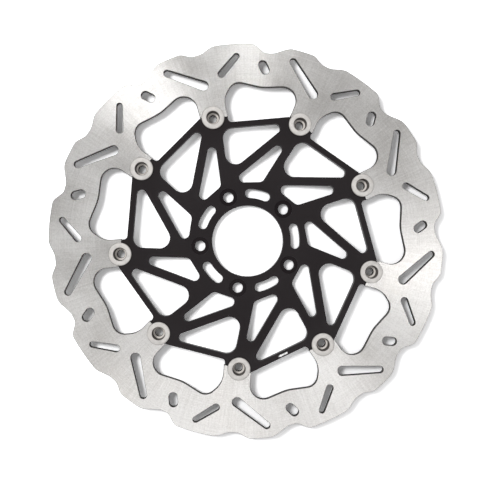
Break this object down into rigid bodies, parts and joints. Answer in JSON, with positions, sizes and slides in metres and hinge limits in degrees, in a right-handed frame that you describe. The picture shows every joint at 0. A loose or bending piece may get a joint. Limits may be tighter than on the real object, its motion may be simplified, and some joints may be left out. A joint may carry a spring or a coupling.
{
  "type": "brake disc rotor",
  "caption": "Floating motorcycle brake disc: a wave-edged slotted steel friction ring held on a dished black skeletal carrier by hollow flanged bobbins.",
  "frame": {"origin": "centre of the spigot bore on the carrier's mounting face", "axes": "+Z along the axle towards the outer face, +X through the first bobbin and the first bolt hole"},
  "size_m": [0.3192, 0.32, 0.0124],
  "materials": {
    "ring_steel": "ground",
    "carrier_black": "satin black anodised",
    "bobbin_steel": "turned",
    "washer_steel": "zinc plated",
    "spring_steel": "spring temper",
    "circlip_steel": "phosphated"
  },
  "bodies": {
    "carrier": {"carrier": "carrier_black"},
    "rotor": {"rotor_ring": "ring_steel"},
    "bobbin_1": {"bobbin_1": "bobbin_steel", "flat_washer_1": "washer_steel", "wave_washer_1": "spring_steel", "circlip_1": "circlip_steel"},
    "bobbin_2": {"bobbin_2": "bobbin_steel", "flat_washer_2": "washer_steel", "wave_washer_2": "spring_steel", "circlip_2": "circlip_steel"},
    "bobbin_3": {"bobbin_3": "bobbin_steel", "flat_washer_3": "washer_steel", "wave_washer_3": "spring_steel", "circlip_3": "circlip_steel"},
    "bobbin_4": {"bobbin_4": "bobbin_steel", "flat_washer_4": "washer_steel", "wave_washer_4": "spring_steel", "circlip_4": "circlip_steel"},
    "bobbin_5": {"bobbin_5": "bobbin_steel", "flat_washer_5": "washer_steel", "wave_washer_5": "spring_steel", "circlip_5": "circlip_steel"},
    "bobbin_6": {"bobbin_6": "bobbin_steel", "flat_washer_6": "washer_steel", "wave_washer_6": "spring_steel", "circlip_6": "circlip_steel"},
    "bobbin_7": {"bobbin_7": "bobbin_steel", "flat_washer_7": "washer_steel", "wave_washer_7": "spring_steel", "circlip_7": "circlip_steel"},
    "bobbin_8": {"bobbin_8": "bobbin_steel", "flat_washer_8": "washer_steel", "wave_washer_8": "spring_steel", "circlip_8": "circlip_steel"},
    "bobbin_9": {"bobbin_9": "bobbin_steel", "flat_washer_9": "washer_steel", "wave_washer_9": "spring_steel", "circlip_9": "circlip_steel"}
  },
  "joints": [
    {"name": "rotor_float", "type": "slide", "parent": "carrier", "child": "rotor", "axis": [0, 0, 1], "range_m": [-0.0002, 0.0002]},
    {"name": "bobbin_1_spin", "type": "hinge", "parent": "carrier", "child": "bobbin_1", "pos_m": [0.1035, 0, 0], "axis": [0, 0, 1], "continuous": true},
    {"name": "bobbin_2_spin", "type": "hinge", "parent": "carrier", "child": "bobbin_2", "pos_m": [0.07929, 0.06653, 0], "axis": [0, 0, 1], "continuous": true},
    {"name": "bobbin_3_spin", "type": "hinge", "parent": "carrier", "child": "bobbin_3", "pos_m": [0.01797, 0.10193, 0], "axis": [0, 0, 1], "continuous": true},
    {"name": "bobbin_4_spin", "type": "hinge", "parent": "carrier", "child": "bobbin_4", "pos_m": [-0.05175, 0.08963, 0], "axis": [0, 0, 1], "continuous": true},
    {"name": "bobbin_5_spin", "type": "hinge", "parent": "carrier", "child": "bobbin_5", "pos_m": [-0.09726, 0.0354, 0], "axis": [0, 0, 1], "continuous": true},
    {"name": "bobbin_6_spin", "type": "hinge", "parent": "carrier", "child": "bobbin_6", "pos_m": [-0.09726, -0.0354, 0], "axis": [0, 0, 1], "continuous": true},
    {"name": "bobbin_7_spin", "type": "hinge", "parent": "carrier", "child": "bobbin_7", "pos_m": [-0.05175, -0.08963, 0], "axis": [0, 0, 1], "continuous": true},
    {"name": "bobbin_8_spin", "type": "hinge", "parent": "carrier", "child": "bobbin_8", "pos_m": [0.01797, -0.10193, 0], "axis": [0, 0, 1], "continuous": true},
    {"name": "bobbin_9_spin", "type": "hinge", "parent": "carrier", "child": "bobbin_9", "pos_m": [0.07929, -0.06653, 0], "axis": [0, 0, 1], "continuous": true}
  ]
}
